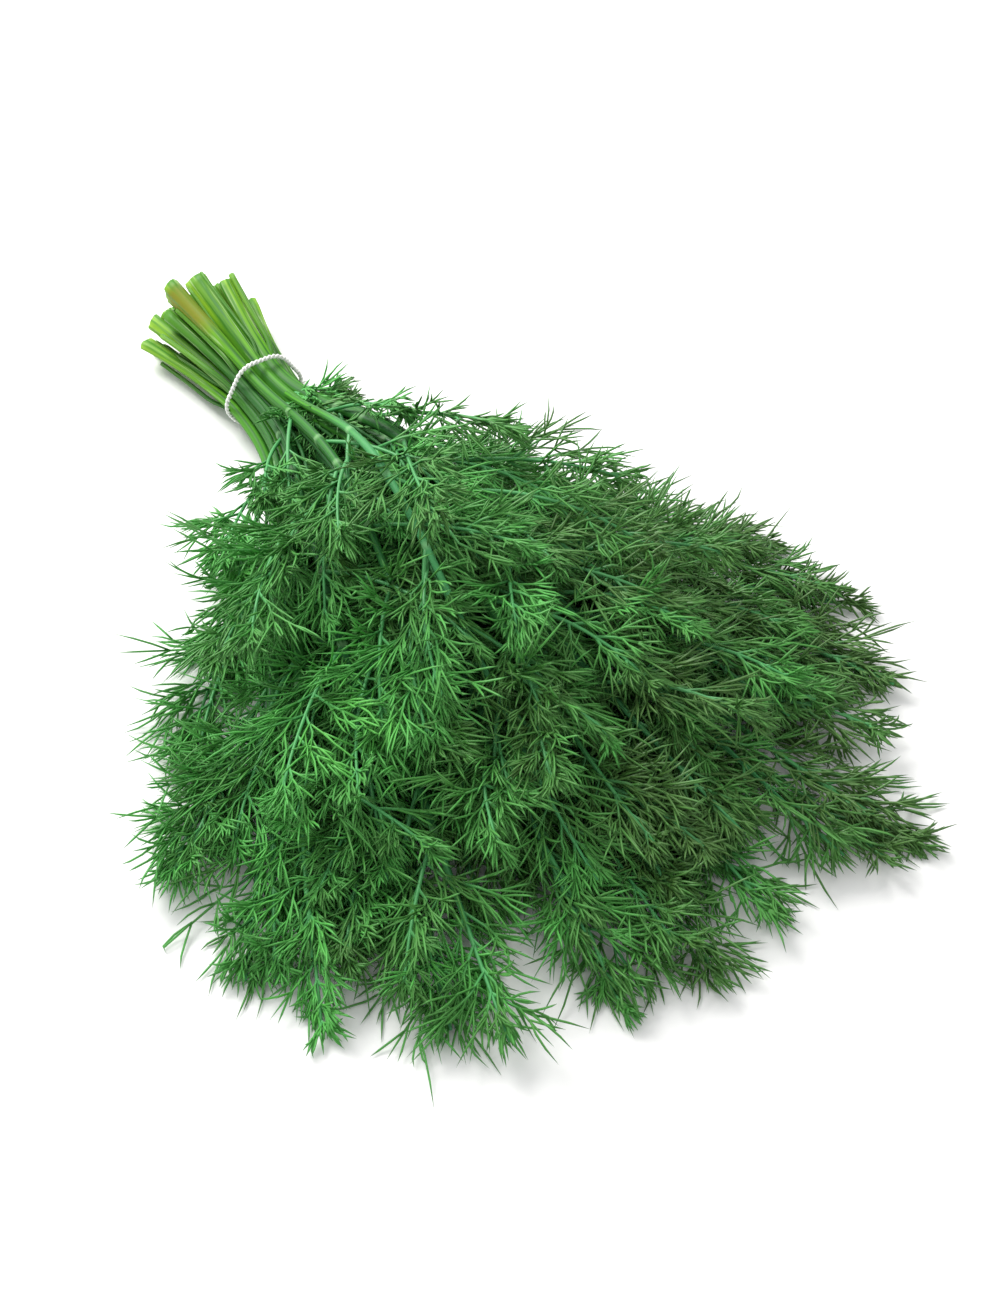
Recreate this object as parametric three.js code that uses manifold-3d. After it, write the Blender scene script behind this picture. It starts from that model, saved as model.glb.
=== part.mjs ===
// A tied bunch of fresh dill, lying on a surface. Millimetres, +Z up.
// The bunch lies along X, with its cut stem ends towards -X and its leaf tips towards +X.
// The origin is on the surface, straight below the tie, in the middle of the tie's flat underside.
// Each leafy stem is one solid: the stem, its feathery leaves and their thread-like leaflets.

import * as THREE from "three";
import { mergeVertices } from "three/addons/utils/BufferGeometryUtils.js";
import Module from "manifold-3d";

const wasm = await Module();
wasm.setup();

// The tied bundle: rows of stems, lowest row first, packed like a honeycomb.
const STEM_ROWS = [5, 6, 5, 4, 3];
const STEM_PITCH = 4.5;
const ROW_RISE = 3.9;
const STEM_RADIUS_AT_TIE = 1.95;
const STEM_RADIUS_AT_PEAK = 1.7;
const BEND_RAMP = 60; // length beyond the tie over which a stem turns outwards
const BUNCH_BEND_DEG = -2; // the leafy part lies bent to one side of the cut stems
const ROW_FAN_DEG = [28, 27, 22, 17, 10]; // how far the outermost stem of each row turns from that
const ROW_PEAK = [1.5, 12, 24, 35, 45]; // height of each row where the bunch is thickest
const SIDE_SINK = 0.3; // how far a row comes down towards the lowest one at the bunch's sides
const ROW_TIP = [2.6, 5, 9, 13, 18]; // height of each row at its leaf tips
const PEAK_AT = 0.4; // where along the stem the bunch is thickest
const TURN_SPREAD_DEG = 2;
const ROW_REACH = [292, 298, 292, 272, 252]; // from the tie to the tip of a middle stem
const REACH_SPREAD = 22;
const OUTER_REACH = 0.86; // the reach of an outermost stem, as a share of a middle one's
const SWAY = 2.5; // stems wander this far from side to side

// Behind the tie the stems splay a little towards their cut ends.
const CUT_LENGTH = 44;
const CUT_LENGTH_SPREAD = 16;
const CUT_SPLAY = 0.85;
const CUT_SPLAY_POWER = 1.3; // above 1 the stems leave the tie straight and spread later
const CUT_SHIFT = 0.9;
const CUT_RISE = [-3, -2.2, -0.4, 2.2, 5.4]; // change in height of each row at its cut ends
const CUT_RADIUS = 2.1;
const CUT_RADIUS_SPREAD = 0.4;

// Leaves along each stem, from the tie outwards, and the spray that ends the stem.
const LEAF_AT = [0.185, 0.285, 0.39, 0.505, 0.62, 0.73];
const LEAF_LENGTH = [58, 70, 74, 70, 64, 56];
const LEAF_AT_SPREAD = 0.02;
const LEAF_LENGTH_SPREAD = [0.86, 1.1];
const LEAF_OPENING_DEG = [34, 58]; // angle between a leaf and its stem, seen from above
const OUTWARD_OPENING = 0.72; // outermost leaves open by this share of that angle
const LEAF_CURL = [0.1, 0.5]; // how much of that angle a leaf turns back along its length
const LEAF_RADIUS = 0.95;
const LEAF_TIP_RADIUS = 0.5;
const LEAF_SPANS = 5;
const ROW_LIFT_DEG = [2, 5, 9, 14, 19]; // how steeply the leaves of each row start
const LIFT_SPREAD_DEG = 12;
const ROW_DROOP = [0.02, 0.1, 0.18, 0.26, 0.3]; // how far they sink at the tip, as a share of length
const DROOP_SPREAD = [0.6, 1.4];
const ROLL_SPREAD_DEG = 30;
const SPRAY_FROM = 0.76;
const SPRAY_LEAFLET_SHARE = 1.25; // the spray's leaflets are longer, for its length, than a leaf's

// A leaf or leaflet that would touch a neighbour is drawn again, each time with more freedom.
const PLACING_TRIES = 160;
const OPENING_EASE_DEG = 1 / 6;
const LIFT_EASE_DEG = 1 / 5;
const LENGTH_EASE = 0.4 / PLACING_TRIES;
const TILT_EASE_DEG = 1 / 3;

// Thread-like leaflets, in pairs along each leaf, raised from its two upper faces.
const LEAFLET_AT = [0.3, 0.46, 0.62, 0.78];
const LEAFLET_LENGTH = [0.32, 0.3, 0.25, 0.19]; // as a share of the leaf's length
const LEAFLET_LENGTH_SPREAD = [0.85, 1.1];
const LEAFLET_OPENING_DEG = [52, 47, 42, 36]; // angle between leaflet and leaf, wider near the stem
const LEAFLET_OPENING_SPREAD_DEG = 3;
const LEAFLET_TILT_DEG = 8;
const LEAFLET_RADII = [0.76, 0.38]; // at its root and near its tip, for keeping neighbours clear
const LEAFLET_ROOT_LENGTH = 1.2;
const LEAFLET_LOWEST = 0.2; // height of the lowest leaflet tips

// The tie: a thin white string round the bundle, with a knot and two short ends on the +Y side.
const BUNDLE_RADIUS = 11.9; // of the circle that holds all the stems' axes at the tie
const TIE_ROUNDNESS = 0.4; // 0 wraps the string tightly round the outer stems, and 1 makes it a circle
const TIE_RADIUS = 0.85;
const TIE_SIDES = 8;
const TIE_STEPS = 24;
const KNOT_ANGLE_DEG = -20; // a little below the widest part of the +Y side
const KNOT_OUT = 1.1; // from the string's axis to the middle of the knot
const KNOT_LOOP_RADIUS = 1.35;
const KNOT_LOOP_STEPS = 8;
const KNOT_TILT_DEG = 28;
const TAIL_REACH = [5.6, 2, -4.2]; // along the bundle, outwards and down, from the knot to a string end
const TAIL_RADIUS = 0.76;
const TAIL_STEPS = [-1, -0.5, 0, 0.5, 1]; // from one string end through the knot to the other
const THIN_SIDES = 6; // round the knot's loops and the string ends

const GAP = 0.35; // clear distance between neighbouring pieces
const SLIVER = 0.02; // edges shorter than this are closed up
const TINY = 1e-6;
const STEP = 0.01; // a short way along a stem or leaf, for its direction
const SURFACE_SOFTNESS = 4; // how gently low leaves bend up to the surface, in square millimetres
const STEM_SIDES = 6;
const STEM_SPANS = 9;
const SEED = 77;
const DRAW_FACTOR = 1664525;
const DRAW_SHIFT = 1013904223;
const DRAW_RANGE = 4294967296;

const STEM_GREEN = 0x86b23a;
const TIE_WHITE = 0xf2f2ee;

const UP = new THREE.Vector3(0, 0, 1);
const TIE_FLAT = TIE_RADIUS * Math.cos(Math.PI / TIE_SIDES);
const TIE_OFFSET = STEM_RADIUS_AT_TIE + GAP + TIE_RADIUS;
const MIDDLE_RISE = ((STEM_ROWS.length - 1) / 2) * ROW_RISE; // from the lowest row to the middle one
// Height of the lowest row's axes at the tie, which puts the string's flat underside at height 0.
const BUNDLE_BASE =
  (TIE_OFFSET + TIE_FLAT + TIE_ROUNDNESS * BUNDLE_RADIUS) * Math.cos(Math.PI / TIE_STEPS) -
  TIE_ROUNDNESS * MIDDLE_RISE;

// A seeded draw between 0 and 1, the same on every run.
let drawState = SEED;
function draw() {
  drawState = (drawState * DRAW_FACTOR + DRAW_SHIFT) % DRAW_RANGE;
  return drawState / DRAW_RANGE;
}

function between(low, high) {
  return low + (high - low) * draw();
}

function around(spread) {
  return between(-spread, spread);
}

function radians(degrees) {
  return (degrees * Math.PI) / 180;
}

// A smooth step from 0 to 1 while t goes from 0 to 1.
function ease(t) {
  const c = Math.min(1, Math.max(0, t));
  return c * c * (3 - 2 * c);
}

// The area under ease, which turns a straight line into one that bends away gently.
function easeArea(t) {
  return t < 1 ? t ** 3 - t ** 4 / 2 : t - 0.5;
}

function mix(a, b, share) {
  return a + (b - a) * share;
}

// Where a stem's axis is at a place along it: place -1 is the cut end, 0 the tie and 1 the tip.
function stemPoint(stem, place) {
  if (place < 0) {
    const back = (-place) ** CUT_SPLAY_POWER;
    return new THREE.Vector3(
      place * stem.cutLength,
      stem.y * (1 + CUT_SPLAY * back) + stem.cutShift * back,
      stem.z + CUT_RISE[stem.row] * back,
    );
  }
  const x = place * stem.reach;
  const y =
    stem.y +
    Math.tan(stem.turn) * BEND_RAMP * easeArea(x / BEND_RAMP) +
    stem.sway * Math.sin(Math.PI * 2 * place + stem.swayPhase) * ease(place * 2);
  const z =
    place < PEAK_AT
      ? mix(stem.z, stem.peak, ease(place / PEAK_AT))
      : mix(stem.peak, ROW_TIP[stem.row], ease((place - PEAK_AT) / (1 - PEAK_AT)));
  return new THREE.Vector3(x, y, z);
}

function stemRadius(stem, place) {
  if (place < 0) return mix(STEM_RADIUS_AT_TIE, stem.cutRadius, -place);
  return place < PEAK_AT
    ? mix(STEM_RADIUS_AT_TIE, STEM_RADIUS_AT_PEAK, place / PEAK_AT)
    : mix(STEM_RADIUS_AT_PEAK, LEAF_RADIUS, (place - PEAK_AT) / (1 - PEAK_AT));
}

// Every stem of the bundle, with the values that make it differ from its neighbours.
function makeStems() {
  const stems = [];
  STEM_ROWS.forEach((count, row) => {
    const half = (count - 1) / 2;
    for (let column = 0; column < count; column++) {
      const outwards = (column - half) / half;
      const fan = ROW_FAN_DEG[row] * outwards;
      const turn = radians(BUNCH_BEND_DEG + fan + around(TURN_SPREAD_DEG));
      const length = (ROW_REACH[row] - REACH_SPREAD * draw()) * mix(1, OUTER_REACH, outwards ** 2);
      stems.push({
        row,
        outwards,
        peak: mix(ROW_PEAK[row], ROW_PEAK[0], SIDE_SINK * (fan / ROW_FAN_DEG[0]) ** 2),
        turn,
        side: column % 2 ? 1 : -1,
        y: (column - half) * STEM_PITCH,
        z: BUNDLE_BASE + row * ROW_RISE,
        reach: length * Math.cos(turn),
        cutLength: CUT_LENGTH + CUT_LENGTH_SPREAD * draw(),
        cutShift: around(CUT_SHIFT),
        cutRadius: CUT_RADIUS + CUT_RADIUS_SPREAD * draw(),
        sway: around(SWAY),
        swayPhase: around(Math.PI),
      });
    }
  });
  return stems;
}

// Straight pieces that are already in place, as capsules, for keeping neighbours clear.
const placed = [];

function addCapsules(points, radii, owner) {
  for (let i = 0; i + 1 < points.length; i++)
    placed.push({ a: points[i], b: points[i + 1], r: Math.max(radii[i], radii[i + 1]), owner });
}

// The shortest distance between two straight segments.
function segmentDistance(p, q, a, b) {
  const d1 = q.clone().sub(p);
  const d2 = b.clone().sub(a);
  const r = p.clone().sub(a);
  const len1 = d1.dot(d1);
  const len2 = d2.dot(d2);
  const across = d1.dot(d2);
  const along1 = d1.dot(r);
  const along2 = d2.dot(r);
  const denominator = len1 * len2 - across * across;
  const clamp = (v) => Math.min(1, Math.max(0, v));
  let s = denominator > TINY ? clamp((across * along2 - along1 * len2) / denominator) : 0;
  let t = (across * s + along2) / len2;
  if (t < 0 || t > 1) {
    t = clamp(t);
    s = clamp((across * t - along1) / len1);
  }
  return r.add(d1.multiplyScalar(s)).sub(d2.multiplyScalar(t)).length();
}

// How much room a path has to everything in place on other stems. Below 0 it touches something.
function clearance(points, radii, owner) {
  let least = Infinity;
  for (let i = 0; i + 1 < points.length; i++) {
    const radius = Math.max(radii[i], radii[i + 1]);
    for (const c of placed) {
      if (c.owner === owner) continue;
      const distance = segmentDistance(points[i], points[i + 1], c.a, c.b);
      least = Math.min(least, distance - radius - c.r - GAP);
    }
  }
  return least;
}

// Heights below the lowest allowed one bend up to it softly, as leaves do on a table.
function aboveSurface(z, lowest) {
  return lowest + (z - lowest + Math.sqrt((z - lowest) ** 2 + SURFACE_SOFTNESS)) / 2;
}

// The axis of a leaf: it starts inside its stem, arches outwards and sinks towards its tip.
function leafPoint(leaf, t) {
  const flat = Math.cos(leaf.lift) * t;
  const heading = leaf.heading - leaf.curl * t;
  const z = leaf.base.z + leaf.length * (Math.sin(leaf.lift) * t - leaf.droop * t * t);
  return new THREE.Vector3(
    leaf.base.x + leaf.length * flat * Math.cos(heading),
    leaf.base.y + leaf.length * flat * Math.sin(heading),
    t > 0 ? aboveSurface(z, LEAF_RADIUS) : leaf.base.z,
  );
}

function leafPath(leaf) {
  return Array.from({ length: LEAF_SPANS + 1 }, (_, i) => leafPoint(leaf, i / LEAF_SPANS));
}

function leafRadii() {
  const shares = Array.from({ length: LEAF_SPANS + 1 }, (_, i) => i / LEAF_SPANS);
  return shares.map((share) => mix(LEAF_RADIUS, LEAF_TIP_RADIUS, share));
}

function stemHeading(stem, place) {
  const step = stemPoint(stem, place + STEP).sub(stemPoint(stem, place));
  return Math.atan2(step.y, step.x);
}

// One leaf, turned by the draw until it is clear of every other stem and leaf.
function placeLeaf(stem, index, owner) {
  const place = LEAF_AT[index] + around(LEAF_AT_SPREAD);
  const base = stemPoint(stem, place);
  const side = index % 2 ? -stem.side : stem.side;
  const opened = mix(1, OUTWARD_OPENING, Math.max(0, side * stem.outwards));
  let best = null;
  let bestRoom = -Infinity;
  for (let tries = 0; tries < PLACING_TRIES && bestRoom < 0; tries++) {
    const widening = tries * OPENING_EASE_DEG;
    const openingDeg = between(LEAF_OPENING_DEG[0] - widening, LEAF_OPENING_DEG[1] + widening);
    const opening = radians(openingDeg) * opened;
    const leaf = {
      base,
      heading: stemHeading(stem, place) + side * opening,
      curl: side * opening * between(...LEAF_CURL),
      lift: radians(ROW_LIFT_DEG[stem.row] + around(LIFT_SPREAD_DEG + tries * LIFT_EASE_DEG)),
      droop: ROW_DROOP[stem.row] * between(...DROOP_SPREAD),
      length: LEAF_LENGTH[index] * between(...LEAF_LENGTH_SPREAD) * (1 - tries * LENGTH_EASE),
      roll: radians(around(ROLL_SPREAD_DEG)),
    };
    const room = clearance(leafPath(leaf), leafRadii(), owner);
    if (room > bestRoom) {
      best = leaf;
      bestRoom = room;
    }
  }
  if (bestRoom < -GAP) throw new Error("a leaf of stem " + owner + " runs into another by " + -bestRoom);
  addCapsules(leafPath(best), leafRadii(), owner);
  best.along = (t) => leafPoint(best, t);
  return best;
}

// A tube with its own radius at each point of its path. A last radius of 0 ends it in a point.
function taperedTube(path, radii, sides) {
  const pointed = radii.at(-1) === 0;
  const rings = pointed ? path.length - 1 : path.length;
  const positions = [];
  for (let i = 0; i < rings; i++) {
    const ahead = path[Math.min(i + 1, path.length - 1)];
    const tangent = ahead.clone().sub(path[Math.max(i - 1, 0)]).normalize();
    const across = tangent.clone().cross(UP).normalize();
    const below = across.clone().cross(tangent).negate();
    for (let k = 0; k < sides; k++) {
      const angle = (2 * Math.PI * (k + 0.5)) / sides;
      const point = path[i]
        .clone()
        .addScaledVector(below, radii[i] * Math.cos(angle))
        .addScaledVector(across, radii[i] * Math.sin(angle));
      positions.push(point.x, point.y, point.z);
    }
  }
  const triangles = [];
  for (let i = 0; i + 1 < rings; i++)
    for (let k = 0; k < sides; k++) {
      const a = i * sides + k;
      const b = i * sides + ((k + 1) % sides);
      triangles.push(a, a + sides, b, b, a + sides, b + sides);
    }
  for (let k = 1; k + 1 < sides; k++) triangles.push(0, k, k + 1);
  const last = (rings - 1) * sides;
  if (pointed) {
    const tip = path.at(-1);
    positions.push(tip.x, tip.y, tip.z);
    for (let k = 0; k < sides; k++) triangles.push(last + k, rings * sides, last + ((k + 1) % sides));
  } else {
    for (let k = 1; k + 1 < sides; k++) triangles.push(last, last + k + 1, last + k);
  }
  return solid(positions, triangles);
}

// Points and triangles as a closed solid that can be joined to others.
function solid(positions, triangles) {
  return new wasm.Manifold(
    new wasm.Mesh({
      numProp: 3,
      vertProperties: new Float32Array(positions),
      triVerts: new Uint32Array(triangles),
    }),
  );
}

function solidOfGeometry(geometry) {
  geometry.deleteAttribute("normal");
  geometry.deleteAttribute("uv");
  const merged = mergeVertices(geometry, TINY);
  return solid(merged.attributes.position.array, merged.index.array);
}

// The stem's own path and radii, from its cut end to inside the spray at its tip.
function stemTube(stem) {
  const places = [-1, -0.5, 0];
  for (let i = 1; i <= STEM_SPANS; i++) places.push(i / STEM_SPANS);
  const path = places.map((place) => stemPoint(stem, place));
  const radii = places.map((place) => stemRadius(stem, place));
  return { path, radii };
}

// The spray that ends a stem is a leaf that goes straight on along the stem's own line.
function sprayOf(stem) {
  const along = (t) => stemPoint(stem, mix(SPRAY_FROM, 1, t));
  return { along, roll: 0, length: along(1).distanceTo(along(0)) * SPRAY_LEAFLET_SHARE };
}

// The tip of a leaflet, bent aside by the draw until it is clear, or null if there is no room.
function leafletTip(leaf, root, along, normal, side, pair, owner) {
  const outwards = normal.clone().cross(along).multiplyScalar(side);
  for (let tries = 0; tries < PLACING_TRIES; tries++) {
    const opening = radians(LEAFLET_OPENING_DEG[pair] + around(LEAFLET_OPENING_SPREAD_DEG));
    const tilt = radians(around(LEAFLET_TILT_DEG + tries * TILT_EASE_DEG));
    const length = leaf.length * LEAFLET_LENGTH[pair] * between(...LEAFLET_LENGTH_SPREAD);
    const tip = root
      .clone()
      .addScaledVector(along, length * Math.cos(opening))
      .addScaledVector(outwards, length * Math.sin(opening) * Math.cos(tilt))
      .addScaledVector(normal, length * Math.sin(opening) * Math.sin(tilt));
    tip.z = aboveSurface(tip.z, LEAFLET_LOWEST);
    if (clearance([root, tip], LEAFLET_RADII, owner) > 0) {
      addCapsules([root, tip], LEAFLET_RADII, owner);
      return tip;
    }
  }
  return null;
}

// A leaf as one closed solid: a three-sided stalk, whose left and right faces are raised to a point
// at each leaflet.
function leafSolid(leaf, owner) {
  const positions = [];
  const triangles = [];
  const addRing = (t) => {
    const centre = leaf.along(t);
    const along = leaf.along(t + STEP).sub(leaf.along(t - STEP)).normalize();
    const level = UP.clone().addScaledVector(along, -UP.dot(along)).normalize();
    const normal = level.applyAxisAngle(along, leaf.roll);
    const right = along.clone().cross(normal);
    const radius = mix(LEAF_RADIUS, LEAF_TIP_RADIUS, t);
    for (const angle of [0, 120, 240].map(radians)) {
      const point = centre
        .clone()
        .addScaledVector(normal, radius * Math.cos(angle))
        .addScaledVector(right, radius * Math.sin(angle));
      positions.push(point.x, point.y, point.z);
    }
    return { first: positions.length / 3 - 3, centre, along, normal };
  };
  const addPoint = (point) => positions.push(point.x, point.y, point.z) / 3 - 1;
  // Face 0 looks right, 1 looks down and 2 looks left. A raised face runs up to its leaflet's tip.
  const addFace = (ring, ahead, face, tip) => {
    const corners = [ring + face, ring + ((face + 1) % 3), ahead + ((face + 1) % 3), ahead + face];
    if (tip) {
      const top = addPoint(tip);
      for (let i = 0; i < 4; i++) triangles.push(corners[i], corners[(i + 1) % 4], top);
    } else {
      triangles.push(corners[0], corners[1], corners[2], corners[0], corners[2], corners[3]);
    }
  };
  const rootShare = LEAFLET_ROOT_LENGTH / 2 / leaf.length;
  let last = addRing(0);
  triangles.push(last.first, last.first + 2, last.first + 1);
  LEAFLET_AT.forEach((place, pair) => {
    const before = addRing(place - rootShare);
    for (const face of [0, 1, 2]) addFace(last.first, before.first, face, null);
    const after = addRing(place + rootShare);
    const root = before.centre.clone().lerp(after.centre, 0.5);
    const tipOn = (side) => leafletTip(leaf, root, before.along, before.normal, side, pair, owner);
    addFace(before.first, after.first, 0, tipOn(-1));
    addFace(before.first, after.first, 1, null);
    addFace(before.first, after.first, 2, tipOn(1));
    last = after;
  });
  const end = addPoint(leaf.along(1));
  for (const face of [0, 1, 2]) triangles.push(last.first + face, last.first + ((face + 1) % 3), end);
  return solid(positions, triangles);
}

// Several solids joined in one. Joining leaves slivers and tiny closed bubbles, and both are closed up.
function joined(pieces) {
  const bodies = wasm.Manifold.union(pieces).simplify(SLIVER).decompose();
  return bodies.reduce((largest, body) => (body.volume() > largest.volume() ? body : largest));
}

function meshOf(name, made, color, roughness) {
  const { vertProperties, triVerts } = made.getMesh();
  const geometry = new THREE.BufferGeometry();
  geometry.setAttribute("position", new THREE.BufferAttribute(vertProperties, 3));
  geometry.setIndex(new THREE.BufferAttribute(triVerts, 1));
  geometry.computeVertexNormals();
  const material = new THREE.MeshStandardMaterial({ color, roughness, metalness: 0 });
  const mesh = new THREE.Mesh(geometry, material);
  mesh.name = name;
  return mesh;
}

// The string's axis where it faces outwards at an angle, between a tight wrap and a circle.
function tiePoint(stems, angle) {
  const outwards = new THREE.Vector3(0, Math.cos(angle), Math.sin(angle));
  const reach = (stem) => stem.y * outwards.y + stem.z * outwards.z;
  const corner = stems.reduce((far, stem) => (reach(stem) > reach(far) + TINY ? stem : far));
  const round = new THREE.Vector3(0, 0, BUNDLE_BASE + MIDDLE_RISE).addScaledVector(outwards, BUNDLE_RADIUS);
  const centre = new THREE.Vector3(0, corner.y, corner.z).lerp(round, TIE_ROUNDNESS);
  return { centre: centre.addScaledVector(outwards, TIE_OFFSET), outwards };
}

function tieRing(stems) {
  const positions = [];
  const triangles = [];
  for (let i = 0; i < TIE_STEPS; i++) {
    const { centre, outwards } = tiePoint(stems, (2 * Math.PI * (i + 0.5)) / TIE_STEPS);
    for (let k = 0; k < TIE_SIDES; k++) {
      const angle = (2 * Math.PI * (k + 0.5)) / TIE_SIDES;
      positions.push(
        TIE_RADIUS * Math.sin(angle),
        centre.y + outwards.y * TIE_RADIUS * Math.cos(angle),
        centre.z + outwards.z * TIE_RADIUS * Math.cos(angle),
      );
      const next = (k + 1) % TIE_SIDES;
      const ring = i * TIE_SIDES;
      const ringAhead = ((i + 1) % TIE_STEPS) * TIE_SIDES;
      triangles.push(ring + k, ringAhead + k, ring + next);
      triangles.push(ring + next, ringAhead + k, ringAhead + next);
    }
  }
  return solid(positions, triangles);
}

// Two crossed loops, sunk into the string, and a short piece through them that leaves its two ends free.
function tieKnot(stems) {
  const { centre, outwards } = tiePoint(stems, radians(KNOT_ANGLE_DEG));
  const middle = centre.clone().addScaledVector(outwards, KNOT_OUT);
  const loops = [-1, 1].map((turn) => {
    const loop = new THREE.TorusGeometry(KNOT_LOOP_RADIUS, TIE_RADIUS, THIN_SIDES, KNOT_LOOP_STEPS);
    loop.rotateX(radians(KNOT_TILT_DEG) * turn);
    loop.translate(middle.x, middle.y, middle.z);
    return solidOfGeometry(loop);
  });
  const [reachAlong, reachOut, reachUp] = TAIL_REACH;
  const path = TAIL_STEPS.map((t) =>
    middle.clone().add(new THREE.Vector3(reachAlong * t, reachOut * t * t, reachUp * t * t)),
  );
  const ends = taperedTube(path, path.map(() => TAIL_RADIUS), THIN_SIDES);
  return [...loops, ends];
}

const bunch = new THREE.Group();
const stems = makeStems();

stems.forEach((stem, owner) => {
  const { path, radii } = stemTube(stem);
  const room = clearance(path, radii, owner);
  if (room < -GAP) throw new Error("stem " + owner + " runs into another by " + -room);
  addCapsules(path, radii, owner);
});
const leavesOf = stems.map((stem, owner) => LEAF_AT.map((_, index) => placeLeaf(stem, index, owner)));

stems.forEach((stem, owner) => {
  const { path, radii } = stemTube(stem);
  const pieces = [taperedTube(path.slice(0, -2), radii.slice(0, -2), STEM_SIDES)];
  for (const leaf of [...leavesOf[owner], sprayOf(stem)]) pieces.push(leafSolid(leaf, owner));
  const name = "leafy_stem_" + String(owner + 1).padStart(2, "0");
  bunch.add(meshOf(name, joined(pieces), STEM_GREEN, 0.6));
});

bunch.add(meshOf("tie", joined([tieRing(stems), ...tieKnot(stems)]), TIE_WHITE, 0.8));

export default bunch;
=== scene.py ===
import math
from dataclasses import dataclass, replace

import bpy
import numpy as np
from mathutils import Matrix, Vector


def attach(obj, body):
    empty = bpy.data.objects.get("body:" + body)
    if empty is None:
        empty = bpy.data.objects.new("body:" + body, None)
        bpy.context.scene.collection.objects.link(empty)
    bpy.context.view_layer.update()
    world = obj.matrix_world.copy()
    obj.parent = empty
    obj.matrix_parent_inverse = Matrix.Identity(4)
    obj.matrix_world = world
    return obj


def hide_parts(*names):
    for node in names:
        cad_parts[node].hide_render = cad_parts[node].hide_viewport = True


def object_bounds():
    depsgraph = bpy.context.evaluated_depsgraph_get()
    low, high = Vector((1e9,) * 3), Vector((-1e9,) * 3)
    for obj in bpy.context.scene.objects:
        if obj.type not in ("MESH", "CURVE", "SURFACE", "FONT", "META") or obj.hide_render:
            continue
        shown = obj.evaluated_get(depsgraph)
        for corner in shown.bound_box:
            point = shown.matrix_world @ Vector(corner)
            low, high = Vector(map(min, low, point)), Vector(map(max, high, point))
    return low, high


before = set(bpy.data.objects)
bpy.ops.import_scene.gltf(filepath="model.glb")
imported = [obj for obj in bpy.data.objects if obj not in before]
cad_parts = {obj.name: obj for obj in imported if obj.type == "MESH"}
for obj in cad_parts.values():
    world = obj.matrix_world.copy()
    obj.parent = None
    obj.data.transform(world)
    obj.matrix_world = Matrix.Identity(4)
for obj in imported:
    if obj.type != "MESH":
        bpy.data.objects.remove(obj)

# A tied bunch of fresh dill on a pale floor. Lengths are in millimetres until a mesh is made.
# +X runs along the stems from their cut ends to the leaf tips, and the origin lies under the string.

CAD_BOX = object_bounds()
MM = 0.001

# The tied bundle: rows of stems, lowest row first. The solids use the same values.
STEM_ROWS = [5, 6, 5, 4, 3]
STEM_PITCH = 4.5
ROW_RISE = 3.9
TOP_ROW = len(STEM_ROWS) - 1
STEM_RADIUS_AT_TIE = 1.95
STEM_RADIUS_AT_PEAK = 1.7
BEND_RAMP = 60
BUNCH_BEND_DEG = -2
ROW_FAN_DEG = [28, 27, 22, 17, 10]
ROW_PEAK = [1.5, 12, 24, 35, 45]
SIDE_SINK = 0.3
ROW_TIP = [2.6, 5, 9, 13, 18]
PEAK_AT = 0.4
TURN_SPREAD_DEG = 2
ROW_REACH = [292, 298, 292, 272, 252]
REACH_SPREAD = 22
OUTER_REACH = 0.86
SWAY = 2.5

CUT_LENGTH = 44
CUT_LENGTH_SPREAD = 16
CUT_SPLAY = 0.85
CUT_SPLAY_POWER = 1.3
CUT_SHIFT = 0.9
CUT_RISE = [-3, -2.2, -0.4, 2.2, 5.4]
CUT_RADIUS = 2.1
CUT_RADIUS_SPREAD = 0.4

# Leaves along each stem, from the tie outwards, and the spray that ends the stem.
LEAF_AT = [0.185, 0.285, 0.39, 0.505, 0.62, 0.73]
LEAF_LENGTH = [58, 70, 74, 70, 64, 56]
LEAF_AT_SPREAD = 0.02
LEAF_LENGTH_SPREAD = [0.86, 1.1]
LEAF_OPENING_DEG = [34, 58]
OUTWARD_OPENING = 0.72
LEAF_CURL = [0.1, 0.5]
LEAF_RADIUS = 0.95
LEAF_TIP_RADIUS = 0.5
LEAF_SPANS = 5
ROW_LIFT_DEG = [2, 5, 9, 14, 19]
LIFT_SPREAD_DEG = 12
ROW_DROOP = [0.02, 0.1, 0.18, 0.26, 0.3]
DROOP_SPREAD = [0.6, 1.4]
ROLL_SPREAD_DEG = 30
SPRAY_FROM = 0.76
SPRAY_LEAFLET_SHARE = 1.25
PLACING_TRIES = 160
OPENING_EASE_DEG = 1 / 6
LIFT_EASE_DEG = 1 / 5
LENGTH_EASE = 0.4 / PLACING_TRIES

BUNDLE_RADIUS = 11.9
TIE_ROUNDNESS = 0.4
TIE_RADIUS = 0.85
TIE_SIDES = 8
TIE_STEPS = 24
KNOT_ANGLE_DEG = -20
KNOT_OUT = 1.1
TAIL_REACH = (5.6, 2, -4.2)

GAP = 0.35
TINY = 1e-6
STEP = 0.01  # a little further along an axis, to see which way it runs
SURFACE_SOFTNESS = 4
SAME_REACH_DIGITS = 6  # reaches that agree so far are equal
STEM_SPANS = 9
LAYOUT_SEED = 77
DRAW_FACTOR = 1664525
DRAW_SHIFT = 1013904223
DRAW_RANGE = 4294967296

TIE_OFFSET = STEM_RADIUS_AT_TIE + GAP + TIE_RADIUS
TIE_FLAT = TIE_RADIUS * math.cos(math.pi / TIE_SIDES)
MIDDLE_RISE = TOP_ROW / 2 * ROW_RISE
TIE_DEPTH = (TIE_OFFSET + TIE_FLAT + TIE_ROUNDNESS * BUNDLE_RADIUS) * math.cos(math.pi / TIE_STEPS)
BUNDLE_BASE = TIE_DEPTH - TIE_ROUNDNESS * MIDDLE_RISE

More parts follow.
